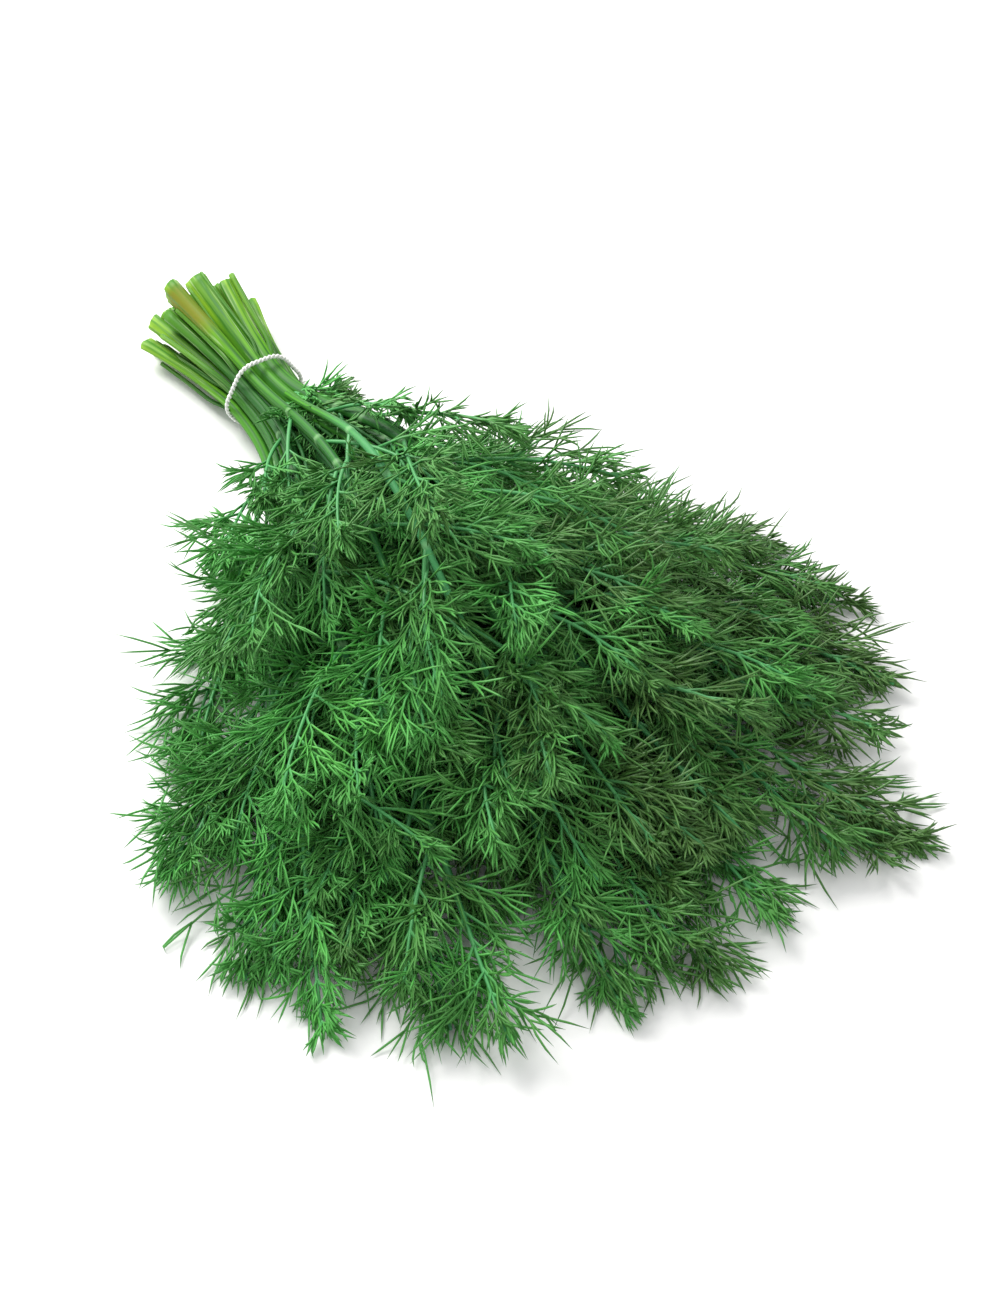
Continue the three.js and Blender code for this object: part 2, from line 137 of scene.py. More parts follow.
# Fine shape of a stem: finely ridged, a little flattened, swollen where a leaf leaves it.
STEM_SIDES = 18
STEM_RINGS_BEHIND = 16
STEM_RINGS_AHEAD = 64
STEM_FULLNESS = 1.14  # stems touch under the string, where the solids keep a small gap
STEM_WIDTHS = (0.7, 1.35)
STEM_FLATTENING = (0.08, 0.32)
RIDGE_COUNT = 7
RIDGE_DEPTH = 0.06
FIBRE_STRETCH = 0.6  # below 1 the streaks run further along the stem
STREAK_SHIFT = 5  # sets the streaks of each stem apart from the next one's
CUT_FLARE = 0.16
CUT_FLARE_LENGTH = 0.22
CUT_SLANT = (0.3, 1.7)
CUT_ROUGHNESS = 0.2
CUT_RINGS = ((0.5, 0.7), (0.62, 0.05), (0.93, 0.0))  # share of the radius, and depth into the stem
BEVEL = 0.2
LOWEST_STEM = 0.05
JOINT_SWELL = 0.09
JOINT_LENGTH = 0.008
JOINT_OFFSETS = (-2, -1, -0.4, 0, 0.4, 1, 2)
SAME_PLACE_DIGITS = 5  # places that agree so far are one ring
TIP_SHARE = 0.4  # of the solid's radius, where the stem ends inside its spray
TIP_FROM = 0.55

# A side branch of one stem, which lies over the other leaves, so that its pale stalk shows.
BRANCHED_STEM = 22
BRANCH_TURN_DEG = -5.6
BRANCH_RISE = 10
BRANCH_FROM = 0.08
BRANCH_SIDES = 12
BRANCH_RINGS = 40
BRANCH_WIDTH = 0.75
BRANCH_SHADE = -1  # shades below 0 have a bluish bloom
BRANCH_JOINTS = (0.3, 0.42, 0.54, 0.65, 0.75)
BRANCH_OPENING_DEG = (25, 50)
BRANCH_LIFT_DEG = (-16, 2)
BRANCH_LEAF_LENGTH = (32, 46)

# Thin stalks that the string squeezes against the stems, two for each stem.
THIN_STALKS = 2
THIN_RADII = (0.7, 1.25)
THIN_TIP_SHARE = 0.6
THIN_FROM = (-1.08, -0.7)
THIN_TO = (0.24, 0.5)
THIN_SIDES = 7
THIN_RINGS = 26
THIN_OFFSET = (3.2, 5.2)
THIN_SQUEEZE = 0.25  # share of the offset that is left under the string
THIN_SQUEEZE_LENGTH = 0.3
THIN_WANDER = 1.2
THIN_LOWEST = 1.3
THIN_SHADES = (0.5, 1)

# Fine shape of a leaf: pinnae in pairs along it, threads in pairs along each, and forks on the threads.
FROND_SEED = 411
STALK_SIDES = 5
STALK_RINGS = 14
STALK_TO = 0.9
STALK_RADII = (0.85, 0.42)
STALK_TAPER = 0.7
PINNA_AT = (0.2, 0.36, 0.51, 0.64, 0.76, 0.87)
PINNA_AT_SPREAD = 0.025
BARE_FIRST = 0.3  # further share of a stem's first leaf that has no pinnae
BARE_TOP = 0.16  # and of the other leaves on the top row, where the stems show
PINNA_LENGTH = (0.25, 0.26, 0.23, 0.18, 0.13, 0.08)
PINNA_LENGTH_SPREAD = (0.7, 1.2)
PINNA_OPENING_DEG = (48, 46, 42, 37, 31, 24)
OPENING_SPREAD_DEG = 8
PINNA_RADII = (0.52, 0.48, 0.4)
FULL_PINNA = 14  # shorter pinnae have shorter threads
THREAD_SIDES = 3
THREAD_AT = (0.3, 0.66)
THREAD_AT_SPREAD = 0.08
THREAD_LENGTH = (13, 23)
LEAST_FULLNESS = 0.45
OUTER_THREAD_SHARE = 0.75
THREAD_OPENING_DEG = (21, 40)
THREAD_RADII = (0.37, 0.4, 0.36, 0.0)
FORKED_SHARE = 0.85
FORK_AT = (0.2, 0.5)
FORK_LENGTH = (0.5, 0.8)
FORK_OPENING_DEG = (15, 30)
END_THREAD_AT = 0.97
END_THREAD_LENGTH = 16
END_THREAD_SPREAD = (0.7, 1.2)
LEAST_END_FULLNESS = 0.5
END_THREADS = ((-1.0, 24.0), (1.0, 24.0), (1.0, 2.0))  # side, and opening in degrees
END_SPREAD_DEG = 6
BOTH_SIDES = (-1.0, 1.0)
FORWARD_BEND = (-0.15, 0.6)
WANDER = 0.15
SAG = 0.1
TILT_SPREAD_DEG = 38
TINT_SPREAD = 0.08

# Where the colours of a leaf's parts start and end: below 0 is its stalk, and 1 is the tip of a thread.
PINNA_ALONG = (0.0, 0.3)
THREAD_ALONG = (0.2, 1.0)
END_THREAD_ALONG = (0.3, 1.0)
FORK_ALONG = (0.4, 1.0)

# Younger leaves below the top row, one between each two of the solids', and sprigs close to the string.
YOUNG_OPENING_DEG = (12, 50)
YOUNG_LENGTH = (0.6, 0.85)
YOUNG_LIFT_DEG = (-10, 14)
SPRIG_ROWS = (2, 3, 4)
SPRIG_AT = (0.08, 0.15)
SPRIG_LENGTH = (16, 30)
SPRIG_OPENING_DEG = (-30, 45)
SPRIG_LIFT_DEG = (8, 30)

# More sprigs on the upper stems, which lie over the stems just past the string.
NECK_SEED = 58
NECK_COUNTS = (0, 0, 0, 1, 2)  # for each row
NECK_AT = (0.05, 0.15)
NECK_LENGTH = (26, 40)
NECK_OPENING_DEG = (2, 40)
NECK_LIFT_DEG = (6, 26)

# Sprays that stand alone at the edge: their stem, the place along it, how far they open, and their length.
EDGE_SEED = 19
EDGE_SPRAYS = ((1, 0.69, -60, 50), (10, 0.88, 5, 46), (12, 0.9, 3, 47), (18, 0.88, 6, 55))
EDGE_LIFT_DEG = (-3, 3)

# How low threads may reach, and how far past the solids.
THREAD_FLOOR = 0.45
PAST_SIDES = 6
PAST_TOP = 3
LEAST_REACH = np.array([*(np.array(CAD_BOX[0][:2]) / MM - PAST_SIDES), THREAD_FLOOR])
MOST_REACH = np.array(CAD_BOX[1]) / MM + [PAST_SIDES, PAST_SIDES, PAST_TOP]

STEEP = 0.95  # tubes that rise more steeply are framed by SIDEWAYS
UPRIGHT = np.array([0.0, 0.0, 1.0])
SIDEWAYS = np.array([0.0, 1.0, 0.0])
ALONG = np.array([1.0, 0.0, 0.0])

# Fine shape of the string: two strands twisted together.
TIE_FINE_STEPS = 145
KNOT_TILT_DEG = 28
KNOT_LOOP_RADIUS = 1.35
KNOT_FINE_STEPS = 25
STRAND_RADIUS = 0.52
STRAND_OFFSET = 0.33
STRAND_SIDES = 8
STRING_RINGS_PER_MM = 4
STRING_TWIST_LENGTH = 3.4

# Colours, as linear red, green and blue.
FROND_TINTS = (0.35, 0.86)
# Painted shade: fronds are painted darker towards the tips and the +Y side, which face away from the
# lights.
PAINTED_SHADE_SLOPE = np.array([-0.0012, -0.0036, 0])  # fronds darken towards the tips and the +Y side
LEAF_GREENS = (
    (0.0, (0.068, 0.165, 0.036)),
    (0.4, (0.07, 0.255, 0.048)),
    (0.8, (0.078, 0.365, 0.066)),
    (1.0, (0.09, 0.4, 0.062)),
)
STALK_GREEN = (0.07, 0.34, 0.12)
TIP_GREEN = (0.085, 0.22, 0.07)
STEM_GREENS = (
    (0.0, (0.27, 0.48, 0.045)),
    (0.15, (0.22, 0.45, 0.02)),
    (0.4, (0.12, 0.37, 0.012)),
    (0.6, (0.055, 0.26, 0.02)),
    (1.0, (0.055, 0.27, 0.08)),
)
STEM_SHADES = (
    (0.0, (0.05, 0.2, 0.01)),
    (0.2, (0.03, 0.15, 0.01)),
    (0.45, (0.012, 0.085, 0.01)),
    (0.65, (0.014, 0.1, 0.02)),
    (1.0, (0.04, 0.2, 0.07)),
)
# A painted highlight: the pale colour of glints on some stems, behind the string towards their cut ends.
PAINTED_GLINT = (0.42, 0.58, 0.28)
STEM_BLOOM = (0.07, 0.31, 0.11)
OCHRE = (0.19, 0.2, 0.015)
OCHRE_STEMS = (21,)
JOINT_PALE = (0.35, 0.62, 0.3)
PITH = (0.4, 0.54, 0.22)
STRING_WHITE = (0.88, 0.88, 0.86)
STRING_SHADE = (0.72, 0.73, 0.7)
FLOOR_PALE = (0.86, 0.86, 0.86)
FLOOR_PALER = (0.9, 0.9, 0.9)

# Patterns: the scale and detail of each noise.
LEAF_PATCHES = (28, 2)
STREAKS = (1.6, 3)
FINE_STREAKS = (4, 2)
LINT = (900, 3)
FLOOR_GRAIN = (60, 2)
STRING_FIBRES = 5
FLOOR_SIZE = 12

# Looks: a span is the range that a value is read over and, where that isn't 0 to 1, the range it gives.
# A roughness is what the middle of a pattern gives.
PATTERN_MIDDLE = (0.3, 0.7)
PATCH_TINT = (-0.22, 0.22)
STALK_SPAN = (0.25, 0.0)
STALK_STRENGTH = 0.65
TIP_SPAN = (0.75, 1.0, 0.0, 0.5)
LEAF_ROUGHNESS = (0.42, 0.6)
LEAF_SPECULAR = 0.35
WHOLE_STEM = (-1.0, 1.0)
STREAK_SPAN = (0.35, 0.65)
SHADE_SPAN = (0.3, 0.7, 0.0, 0.9)
BLOOM_SHADE = (0.0, BRANCH_SHADE)
BLOOM_PLACE = (0.2, 0.4)
GLINT_SPAN = (0.58, 0.72, 0.0, 0.6)
GLINT_PLACE = (0.1, -0.3)
OCHRE_INNER_END = (-0.42, -0.62)
OCHRE_CUT_END = (-0.99, -0.9)
OCHRE_STREAKS = (0.3, 0.5, 0.2, 0.95)
JOINT_SPAN = (0.4, 1.0, 0.0, 0.35)
STEM_BUMP = (0.35, 0.0003)
STEM_ROUGHNESS = (0.42, 0.62)
STEM_SPECULAR = 0.16
LINT_SPAN = (0.35, 0.7)
STRING_BUMP = (0.3, 0.0001)
STRING_ROUGHNESS = (0.65, 0.85)
STRING_SHEEN = 0.3
FLOOR_ROUGHNESS = (0.75, 0.85)
FLOOR_SPECULAR = 0.2

# The studio, in metres: name, position, size, power and colour of each light.
BUNCH_MIDDLE = Vector((0.12, 0, 0.02))
LIGHTS = (
    ("key_light", (-0.9, -0.1, 0.85), 0.7, 24, (1, 0.99, 0.96)),
    ("fill_light", (0.2, -1.2, 0.8), 1.2, 2, (0.97, 0.99, 1)),
)
WORLD_COLOUR = (1, 1, 1)
WORLD_STRENGTH = 0.87

# The camera, in pixels of the photograph, degrees and millimetres.
IMAGE_WIDTH = 1000
IMAGE_HEIGHT = 1299
TIE_PIXEL = (264, 389)
TIE_MIDDLE = (0, 0, 13)
CAMERA_AZIMUTH_DEG = 58
CAMERA_ELEVATION_DEG = 47
CAMERA_DISTANCE = 760
CAMERA_LENS = 60
SENSOR = 36


@dataclass
class Stem:
    """A stem's place in the bundle and how it differs from its neighbours."""

    row: int
    outwards: float
    peak: float
    turn: float
    side: int
    y: float
    z: float
    reach: float
    cut_length: float
    cut_shift: float
    cut_radius: float
    sway: float
    sway_phase: float


@dataclass
class Leaf:
    """A leaf's axis: it starts inside its stem, arches outwards and sinks towards its tip."""

    base: np.ndarray
    heading: float
    curl: float
    lift: float
    droop: float
    length: float
    roll: float


class Draws:
    """Seeded draws between 0 and 1, the same on every run."""

    def __init__(self, seed):
        self.state = seed

    def draw(self):
        self.state = (self.state * DRAW_FACTOR + DRAW_SHIFT) % DRAW_RANGE
        return self.state / DRAW_RANGE

    def between(self, low, high):
        return low + (high - low) * self.draw()

    def around(self, spread):
        return self.between(-spread, spread)


def ease(t):
    """A smooth step from 0 to 1 while t goes from 0 to 1."""
    c = np.clip(t, 0, 1)
    return c * c * (3 - 2 * c)


def ease_area(t):
    """The area under ease, which turns a straight line into one that bends away gently."""
    return np.where(t < 1, t**3 - t**4 / 2, t - 0.5)


def mix(a, b, share):
    return a + (b - a) * share


def spread(rng, most, count=None):
    """Draws that lie evenly on both sides of 0."""
    return rng.uniform(-most, most, count)


def unit(vectors):
    return vectors / np.linalg.norm(vectors, axis=-1, keepdims=True)


def above_surface(z, lowest):
    """Heights below the lowest allowed one bend up to it softly, as leaves do on a table."""
    return lowest + (z - lowest + np.sqrt((z - lowest) ** 2 + SURFACE_SOFTNESS)) / 2


def within_reach(points):
    """Points past the farthest allowed ones bend back to them softly, in each direction."""
    return -above_surface(-above_surface(points, LEAST_REACH), -MOST_REACH)


def stem_points(stem, places):
    """Points of a stem's axis. Place -1 is the cut end, 0 the tie and 1 the tip."""
    places = np.asarray(places, dtype=float)
    back = np.maximum(-places, 0) ** CUT_SPLAY_POWER
    x = np.where(places < 0, places * stem.cut_length, places * stem.reach)
    bend = math.tan(stem.turn) * BEND_RAMP * ease_area(np.maximum(x, 0) / BEND_RAMP)
    sway = stem.sway * np.sin(math.pi * 2 * places + stem.sway_phase) * ease(places * 2)
    y = stem.y * (1 + CUT_SPLAY * back) + stem.cut_shift * back + bend + sway
    rising = mix(stem.z, stem.peak, ease(places / PEAK_AT))
    sinking = mix(stem.peak, ROW_TIP[stem.row], ease((places - PEAK_AT) / (1 - PEAK_AT)))
    z = np.where(places < PEAK_AT, rising + CUT_RISE[stem.row] * back, sinking)
    return np.stack([x, y, z], axis=-1)


def stem_radii(stem, places):
    behind = mix(STEM_RADIUS_AT_TIE, stem.cut_radius, -places)
    rising = mix(STEM_RADIUS_AT_TIE, STEM_RADIUS_AT_PEAK, places / PEAK_AT)
    sinking = mix(STEM_RADIUS_AT_PEAK, LEAF_RADIUS, (places - PEAK_AT) / (1 - PEAK_AT))
    return np.where(places < 0, behind, np.where(places < PEAK_AT, rising, sinking))


def make_stem(draws, row, column):
    half = (STEM_ROWS[row] - 1) / 2
    outwards = (column - half) / half
    fan = ROW_FAN_DEG[row] * outwards
    turn = math.radians(BUNCH_BEND_DEG + fan + draws.around(TURN_SPREAD_DEG))
    length = (ROW_REACH[row] - REACH_SPREAD * draws.draw()) * mix(1, OUTER_REACH, outwards**2)
    return Stem(
        row=row,
        outwards=outwards,
        peak=mix(ROW_PEAK[row], ROW_PEAK[0], SIDE_SINK * (fan / ROW_FAN_DEG[0]) ** 2),
        turn=turn,
        side=1 if column % 2 else -1,
        y=(column - half) * STEM_PITCH,
        z=BUNDLE_BASE + row * ROW_RISE,
        reach=length * math.cos(turn),
        cut_length=CUT_LENGTH + CUT_LENGTH_SPREAD * draws.draw(),
        cut_shift=draws.around(CUT_SHIFT),
        cut_radius=CUT_RADIUS + CUT_RADIUS_SPREAD * draws.draw(),
        sway=draws.around(SWAY),
        sway_phase=draws.around(math.pi),
    )


class Room:
    """Straight pieces that are already in place, as capsules, for keeping neighbours clear."""

    def __init__(self):
        self.starts = np.zeros((0, 3))
        self.ends = np.zeros((0, 3))
        self.radii = np.zeros(0)
        self.owners = np.zeros(0, dtype=int)

    def add(self, points, radii, owner):
        self.starts = np.concatenate([self.starts, points[:-1]])
        self.ends = np.concatenate([self.ends, points[1:]])
        self.radii = np.concatenate([self.radii, np.maximum(radii[:-1], radii[1:])])
        self.owners = np.concatenate([self.owners, np.full(len(points) - 1, owner)])

    def around(self, points, radii, owner):
        """How much room a path has to everything on other stems. Below 0 it touches something."""
        others = self.owners != owner
        distances = segment_distances(points[:-1], points[1:], self.starts[others], self.ends[others])
        thickness = np.maximum(radii[:-1], radii[1:])[:, None] + self.radii[others][None, :]
        return float((distances - thickness - GAP).min())


def segment_distances(p, q, a, b):
    """The shortest distance between each segment from p to q and each one from a to b."""
    d1 = (q - p)[:, None, :]
    d2 = (b - a)[None, :, :]
    r = p[:, None, :] - a[None, :, :]
    len1 = (d1 * d1).sum(-1)
    len2 = (d2 * d2).sum(-1)
    across = (d1 * d2).sum(-1)
    along1 = (d1 * r).sum(-1)
    along2 = (d2 * r).sum(-1)
    denominator = len1 * len2 - across * across
    parallel = denominator <= TINY
    s = np.clip((across * along2 - along1 * len2) / np.where(parallel, 1, denominator), 0, 1)
    s = np.where(parallel, 0, s)
    t = (across * s + along2) / len2
    outside = (t < 0) | (t > 1)
    t = np.clip(t, 0, 1)
    s = np.where(outside, np.clip((across * t - along1) / len1, 0, 1), s)
    return np.linalg.norm(r + d1 * s[..., None] - d2 * t[..., None], axis=-1)


def leaf_points(leaf, t):
    flat = math.cos(leaf.lift) * t
    heading = leaf.heading - leaf.curl * t
    z = leaf.base[2] + leaf.length * (math.sin(leaf.lift) * t - leaf.droop * t * t)
    x = leaf.base[0] + leaf.length * flat * np.cos(heading)
    y = leaf.base[1] + leaf.length * flat * np.sin(heading)
    return np.stack([x, y, np.where(t > 0, above_surface(z, LEAF_RADIUS), leaf.base[2])], axis=-1)


def on_stem(stem, place):
    """A point of a stem's axis, and which way the axis runs there, seen from above."""
    base, ahead = stem_points(stem, [place, place + STEP])
    return base, math.atan2(ahead[1] - base[1], ahead[0] - base[0])


def draw_leaf(draws, stem, index, place, tries):
    """A leaf at a place on its stem. Each further try may open, lift and shorten it more."""
    base, stem_heading = on_stem(stem, place)
    side = -stem.side if index % 2 else stem.side
    opened = mix(1, OUTWARD_OPENING, max(0, side * stem.outwards))
    widening = tries * OPENING_EASE_DEG
    opening_deg = draws.between(LEAF_OPENING_DEG[0] - widening, LEAF_OPENING_DEG[1] + widening)
    opening = math.radians(opening_deg) * opened
    lift_spread = LIFT_SPREAD_DEG + tries * LIFT_EASE_DEG
    return Leaf(
        base=base,
        heading=stem_heading + side * opening,
        curl=side * opening * draws.between(*LEAF_CURL),
        lift=math.radians(ROW_LIFT_DEG[stem.row] + draws.around(lift_spread)),
        droop=ROW_DROOP[stem.row] * draws.between(*DROOP_SPREAD),
        length=LEAF_LENGTH[index] * draws.between(*LEAF_LENGTH_SPREAD) * (1 - tries * LENGTH_EASE),
        roll=math.radians(draws.around(ROLL_SPREAD_DEG)),
    )


def place_leaf(draws, room, stem, index, owner):
    """One leaf, drawn again with more freedom until it is clear of every other stem and leaf."""
    place = LEAF_AT[index] + draws.around(LEAF_AT_SPREAD)
    axis_places = np.arange(LEAF_SPANS + 1) / LEAF_SPANS
    radii = mix(LEAF_RADIUS, LEAF_TIP_RADIUS, axis_places)
    best = None
    best_room = -math.inf
    tries = 0
    while tries < PLACING_TRIES and best_room < 0:
        leaf = draw_leaf(draws, stem, index, place, tries)
        space = room.around(leaf_points(leaf, axis_places), radii, owner)
        if space > best_room:
            best = leaf
            best_room = space
        tries += 1
    room.add(leaf_points(best, axis_places), radii, owner)
    return best, place


def lay_out():
    """Every stem with its leaves, in the places that the solids have."""
    draws = Draws(LAYOUT_SEED)
    rows = range(len(STEM_ROWS))
    stems = [make_stem(draws, row, column) for row in rows for column in range(STEM_ROWS[row])]
    room = Room()
    places = np.array([-1, -0.5, 0] + [i / STEM_SPANS for i in range(1, STEM_SPANS + 1)])
    for owner, stem in enumerate(stems):
        room.add(stem_points(stem, places), stem_radii(stem, places), owner)
    leaves = [
        [place_leaf(draws, room, stem, index, owner) for index in range(len(LEAF_AT))]
        for owner, stem in enumerate(stems)
    ]
    return stems, leaves


def add_object(name, data):
    made = bpy.data.objects.new(name, data)
    bpy.context.scene.collection.objects.link(made)
    return made


class Skin:
    """Collects triangles and the values that the materials read at each point."""

    def __init__(self):
        self.points = []
        self.triangles = []
        self.values = {}
        self.count = 0

    def add(self, points, triangles, **values):
        """Points of shape (n, 3), triangles of shape (m, 3) and one value for each point in each field."""
        self.points.append(points)
        self.triangles.append(triangles + self.count)
        for field, value in values.items():
            self.values.setdefault(field, []).append(value)
        self.count += len(points)

    def make_mesh(self, name):
        """The collected triangles as one smooth mesh."""
        points = np.concatenate(self.points).astype(np.float32) * MM
        triangles = np.concatenate(self.triangles).astype(np.int32)
        mesh = bpy.data.meshes.new(name)
        mesh.vertices.add(len(points))
        mesh.vertices.foreach_set("co", points.ravel())
        mesh.loops.add(triangles.size)
        mesh.loops.foreach_set("vertex_index", triangles.ravel())
        mesh.polygons.add(len(triangles))
        mesh.polygons.foreach_set("loop_start", np.arange(0, triangles.size, 3, dtype=np.int32))
        mesh.polygons.foreach_set("use_smooth", np.ones(len(triangles), dtype=bool))
        mesh.update(calc_edges=True)
        for field, parts in self.values.items():
            value = np.concatenate(parts).astype(np.float32)
            kind, key = ("FLOAT_VECTOR", "vector") if value.ndim == 2 else ("FLOAT", "value")
            mesh.attributes.new(field, kind, "POINT").data.foreach_set(key, value.ravel())
        return mesh

    def make(self, name, material, slot, replaced=None):
        """The collected triangles as one piece of the bunch."""
        piece = add_object(name, self.make_mesh(name))
        piece.data.materials.append(material)
        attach(piece, "root")
        if replaced:
            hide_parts(replaced)


def ring_frames(paths, reference):
    """Unit vectors across each path at each of its points, for paths of shape (n, rings, 3)."""
    tangents = unit(np.gradient(paths, axis=1))
    across = unit(np.cross(tangents, reference))
    return across, np.cross(across, tangents)


def around(sides):
    """The angles of a tube's sides."""
    return 2 * math.pi * np.arange(sides) / sides


def spokes_between(across, up, angles):
    """Unit spokes round a path, at angles counted from its vectors across."""
    return across[..., None, :] * np.cos(angles)[:, None] + up[..., None, :] * np.sin(angles)[:, None]


def frames_of(path, reference=UPRIGHT):
    return (part[0] for part in ring_frames(path[None], reference))


def strip_triangles(rings, sides):
    """The wall of a tube whose points are numbered ring by ring."""
    k = np.arange(sides)
    ahead = (k + 1) % sides
    first = (np.arange(rings - 1) * sides)[:, None]
    a = first + k
    b = first + ahead
    near = np.stack([a, a + sides, b], axis=-1)
    far = np.stack([b, a + sides, b + sides], axis=-1)
    return np.concatenate([near.reshape(-1, 3), far.reshape(-1, 3)])


def fan_triangles(first, sides, forwards):
    """A flat end over one ring, facing forwards along the tube or backwards."""
    k = np.arange(1, sides - 1)
    start = np.full_like(k, first)
    order = [start, first + k + 1, first + k] if forwards else [start, first + k, first + k + 1]
    return np.stack(order, axis=-1)


def point_triangles(first, sides):
    """A pointed end: one ring joined to the single point that follows it."""
    k = np.arange(sides)
    return np.stack([first + k, np.full_like(k, first + sides), first + (k + 1) % sides], axis=-1)


def tube_triangles(rings, sides, pointed):
    full_rings = rings - 1 if pointed else rings
    last = (full_rings - 1) * sides
    end = point_triangles(last, sides) if pointed else fan_triangles(last, sides, True)
    return np.concatenate([strip_triangles(full_rings, sides), fan_triangles(0, sides, False), end])


def add_tubes(skin, paths, radii, sides, **values):
    """Adds many tubes at once. Paths have shape (n, rings, 3), radii and values (n, rings)."""
    count, rings = radii.shape
    pointed = bool(np.all(radii[:, -1] == 0))
    steep = np.abs(unit(paths[:, -1] - paths[:, 0])[:, 2]) > STEEP
    reference = np.where(steep[:, None, None], SIDEWAYS, UPRIGHT)
    spokes = spokes_between(*ring_frames(paths, reference), around(sides))
    points = (paths[:, :, None] + spokes * radii[:, :, None, None]).reshape(count, rings * sides, 3)
    size = (rings - 1) * sides + 1 if pointed else rings * sides
    triangles = tube_triangles(rings, sides, pointed)[None] + (np.arange(count) * size)[:, None, None]
    spread = {field: np.repeat(value, sides, axis=1)[:, :size].ravel() for field, value in values.items()}
    skin.add(points[:, :size].reshape(-1, 3), triangles.reshape(-1, 3), **spread)


@dataclass
class Curves:
    """Many short curves: start + length * (t * heading + t * t * bend), each in its own plane."""

    start: np.ndarray
    heading: np.ndarray
    bend: np.ndarray
    normal: np.ndarray
    length: np.ndarray
    tint: np.ndarray

    def points(self, t):
        """Points at t, which has shape (k,) for all curves alike or (n, k) for each curve its own."""
        t = np.broadcast_to(t, (len(self.length), np.shape(t)[-1]))[..., None]
        path = t * self.heading[:, None] + t * t * self.bend[:, None]
        return within_reach(self.start[:, None] + self.length[:, None, None] * path)

    def headings(self, at):
        return unit(self.heading + 2 * at[:, None] * self.bend)

    def picked(self, index):
        return Curves(*(getattr(self, field)[index] for field in Curves.__dataclass_fields__))


def branches(rng, parents, at, side, opening_deg, length):
    """Curves that leave their parents sideways, roughly in the parents' plane, and bend forwards."""
    count = len(at)
    forwards = parents.headings(at)
    sideways = unit(np.cross(forwards, parents.normal)) * side[:, None]
    normal = unit(parents.normal - forwards * (parents.normal * forwards).sum(-1, keepdims=True))
    tilt = np.radians(spread(rng, TILT_SPREAD_DEG, count))[:, None]
    outwards = sideways * np.cos(tilt) + normal * np.sin(tilt)
    opening = np.radians(opening_deg)[:, None]
    heading = forwards * np.cos(opening) + outwards * np.sin(opening)
    bend = (forwards - heading) * rng.uniform(*FORWARD_BEND, (count, 1)) + rng.normal(0, WANDER, (count, 3))
    bend[:, 2] -= SAG * rng.uniform(0, 1, count)
    return Curves(
        start=parents.points(at[:, None])[:, 0],
        heading=heading,
        bend=bend,
        normal=normal * np.cos(tilt) - sideways * np.sin(tilt),
        length=length,
        tint=parents.tint + spread(rng, TINT_SPREAD, count),
    )


def add_threads(skin, curves, radii, along):
    """Adds curves as thin three-sided tubes, one ring for each radius."""
    rings = len(radii)
    shape = (len(curves.length), rings)
    add_tubes(
        skin,
        curves.points(np.linspace(0, 1, rings)),
        np.broadcast_to(radii, shape),
        THREAD_SIDES,
        tint=np.broadcast_to(curves.tint[:, None], shape),
        along=np.broadcast_to(np.linspace(*along, rings), shape),
    )


def pinnae_of(rng, axis, length, roll, tint, bare):
    """The pairs of pinnae along a leaf, whose axis is a function of the place along it."""
    count = 2 * len(PINNA_AT)
    at = np.repeat(PINNA_AT, 2) + spread(rng, PINNA_AT_SPREAD, count)
    at = mix(bare, 1, at)
    length = length * (1 - bare)
    forwards = unit(axis(at + STEP) - axis(at - STEP))
    level = unit(UPRIGHT - forwards * forwards[:, 2:])
    normal = level * math.cos(roll) + np.cross(forwards, level) * math.sin(roll)
    stalks = Curves(axis(at), forwards, np.zeros((count, 3)), normal, np.ones(count), np.full(count, tint))
    side = np.tile(BOTH_SIDES, len(PINNA_AT))
    opening_deg = np.repeat(PINNA_OPENING_DEG, 2) + spread(rng, OPENING_SPREAD_DEG, count)
    lengths = length * np.repeat(PINNA_LENGTH, 2) * rng.uniform(*PINNA_LENGTH_SPREAD, count)
    return branches(rng, stalks, np.zeros(count), side, opening_deg, lengths)


def add_side_threads(skin, rng, pinnae):
    """Threads in pairs along each pinna, most of them forked to one side or both."""
    pairs = 2 * len(THREAD_AT)
    parents = pinnae.picked(np.repeat(np.arange(len(pinnae.length)), pairs))
    count = len(parents.length)
    at = np.tile(np.repeat(THREAD_AT, 2), count // pairs) + spread(rng, THREAD_AT_SPREAD, count)
    side = np.tile(BOTH_SIDES, count // 2)
    fullness = np.clip(parents.length / FULL_PINNA, LEAST_FULLNESS, 1)
    lengths = rng.uniform(*THREAD_LENGTH, count) * fullness * mix(1, OUTER_THREAD_SHARE, at)
    threads = branches(rng, parents, at, side, rng.uniform(*THREAD_OPENING_DEG, count), lengths)
    add_threads(skin, threads, THREAD_RADII, THREAD_ALONG)
    add_forks(skin, rng, threads)


def add_forks(skin, rng, threads):
    """Shorter threads that leave most of the threads, on one side or both."""
    for side in BOTH_SIDES:
        forked = threads.picked(np.flatnonzero(rng.uniform(0, 1, len(threads.length)) < FORKED_SHARE))
        count = len(forked.length)
        opening_deg = rng.uniform(*FORK_OPENING_DEG, count)
        lengths = forked.length * rng.uniform(*FORK_LENGTH, count)
        at = rng.uniform(*FORK_AT, count)
        forks = branches(rng, forked, at, np.full(count, side), opening_deg, lengths)
        add_threads(skin, forks, THREAD_RADII, FORK_ALONG)


